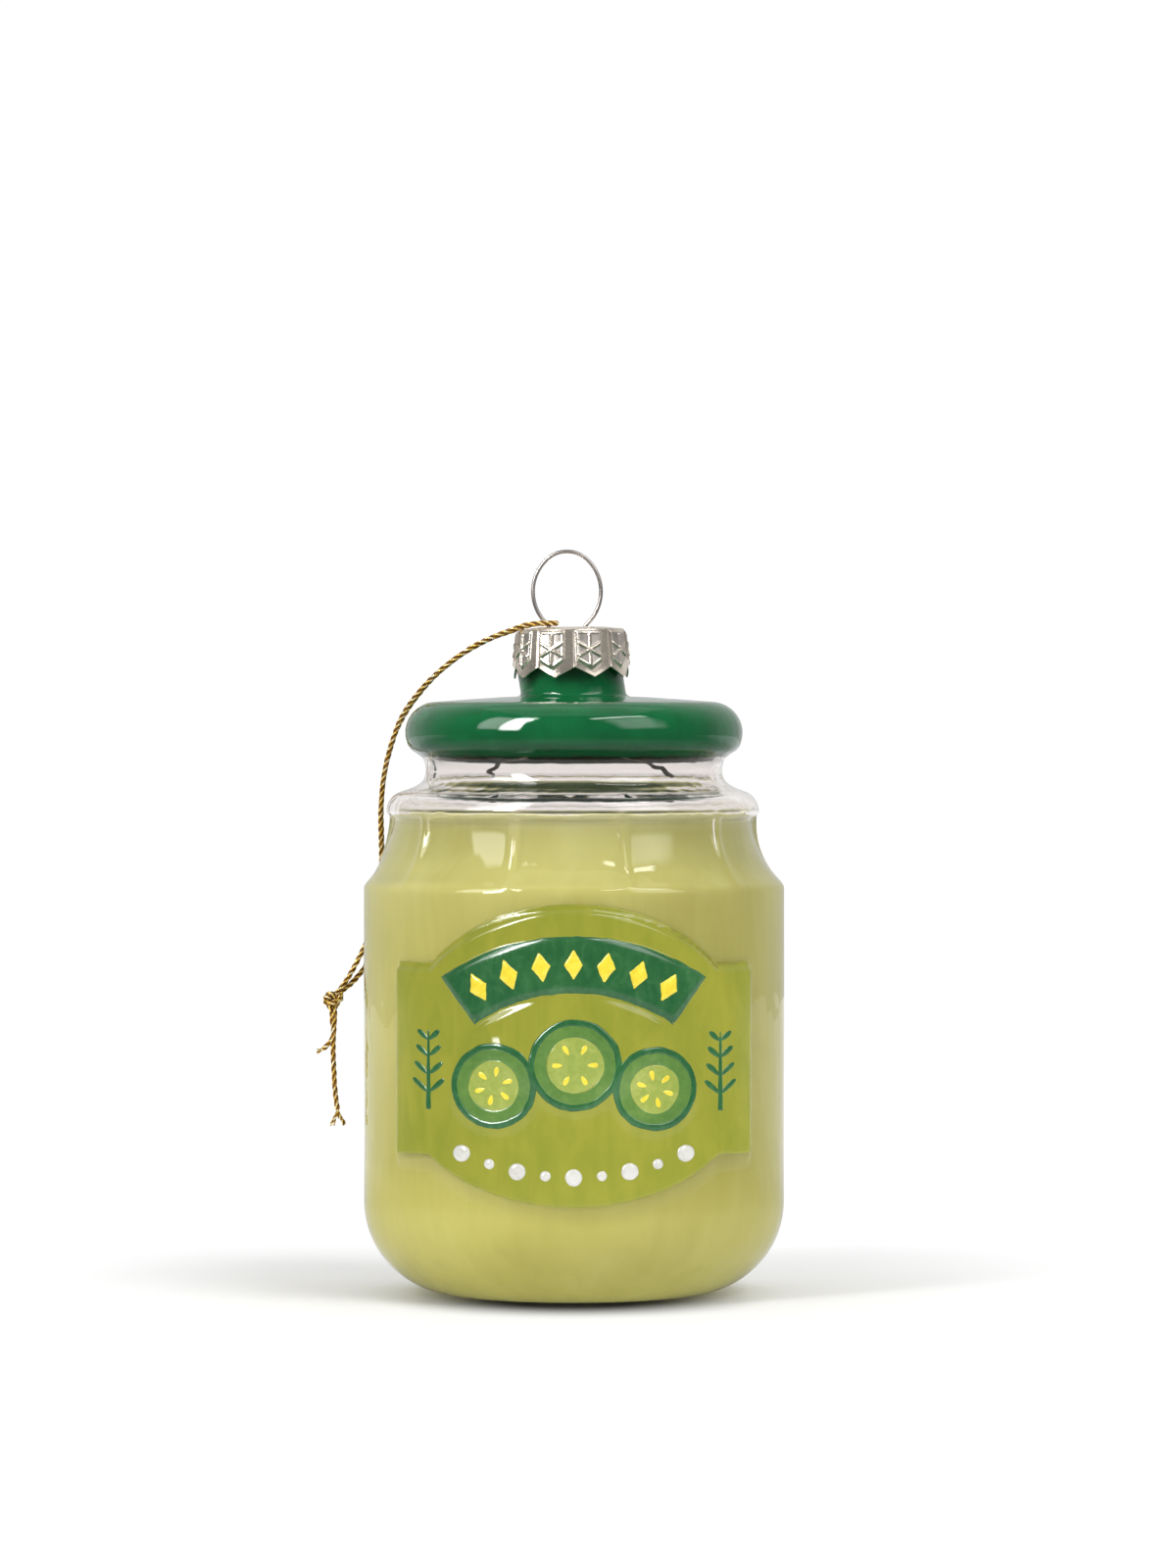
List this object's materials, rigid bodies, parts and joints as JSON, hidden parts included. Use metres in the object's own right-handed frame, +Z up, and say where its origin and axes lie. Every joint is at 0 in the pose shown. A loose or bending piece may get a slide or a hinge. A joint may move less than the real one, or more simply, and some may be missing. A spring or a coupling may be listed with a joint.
{
  "type": "glass pickle jar ornament",
  "caption": "Blown glass hanging ornament shaped like a lidded pickle jar, with a raised front label, a silver crown cap, a wire loop and a gold hanging cord.",
  "frame": {"origin": "middle of the base, on the surface the ornament stands on", "axes": "+Z up along the jar's axis, -Y towards the label, +X to the right seen from the label"},
  "size_m": [0.0632, 0.0582, 0.1008],
  "materials": {
    "clear_glass": "glossy",
    "olive_lacquer": "glossy",
    "green_lacquer": "glossy",
    "label_enamel": "glossy",
    "dark_green_enamel": "glossy",
    "mid_green_enamel": "glossy",
    "pale_green_enamel": "glossy",
    "yellow_enamel": "glossy",
    "white_enamel": "glossy",
    "silver_sheet": "polished",
    "hanger_wire": "polished",
    "gold_cord": "metallic thread"
  },
  "bodies": {
    "jar": {"glass_body": "clear_glass", "brine_lacquer": "olive_lacquer", "lid_lacquer": "green_lacquer", "label_panel": "label_enamel", "label_banner": "dark_green_enamel", "banner_diamonds": "yellow_enamel", "slice_discs": "mid_green_enamel", "slice_hearts": "pale_green_enamel", "slice_rims": "dark_green_enamel", "slice_seeds": "yellow_enamel", "dill_sprigs": "dark_green_enamel", "foot_beads": "white_enamel"},
    "cap": {"crown_cap": "silver_sheet"},
    "hanger": {"hanger_loop": "hanger_wire", "hanger_legs": "hanger_wire"},
    "cord": {"hanging_cord": "gold_cord", "cord_knot": "gold_cord", "cord_tails": "gold_cord"}
  },
  "joints": [
    {"name": "cap_lift", "type": "slide", "parent": "jar", "child": "cap", "axis": [0, 0, 1], "range_m": [0, 0.026], "deforming": ["hanger_legs"]},
    {"name": "loop_slide", "type": "slide", "parent": "cap", "child": "hanger", "axis": [0, 0, 1], "range_m": [0, 0.002]},
    {"name": "cord_swing", "type": "hinge", "parent": "hanger", "child": "cord", "pos_m": [-0.00095, 0, 0.094], "axis": [0, 1, 0], "range_deg": [0, 140]}
  ]
}
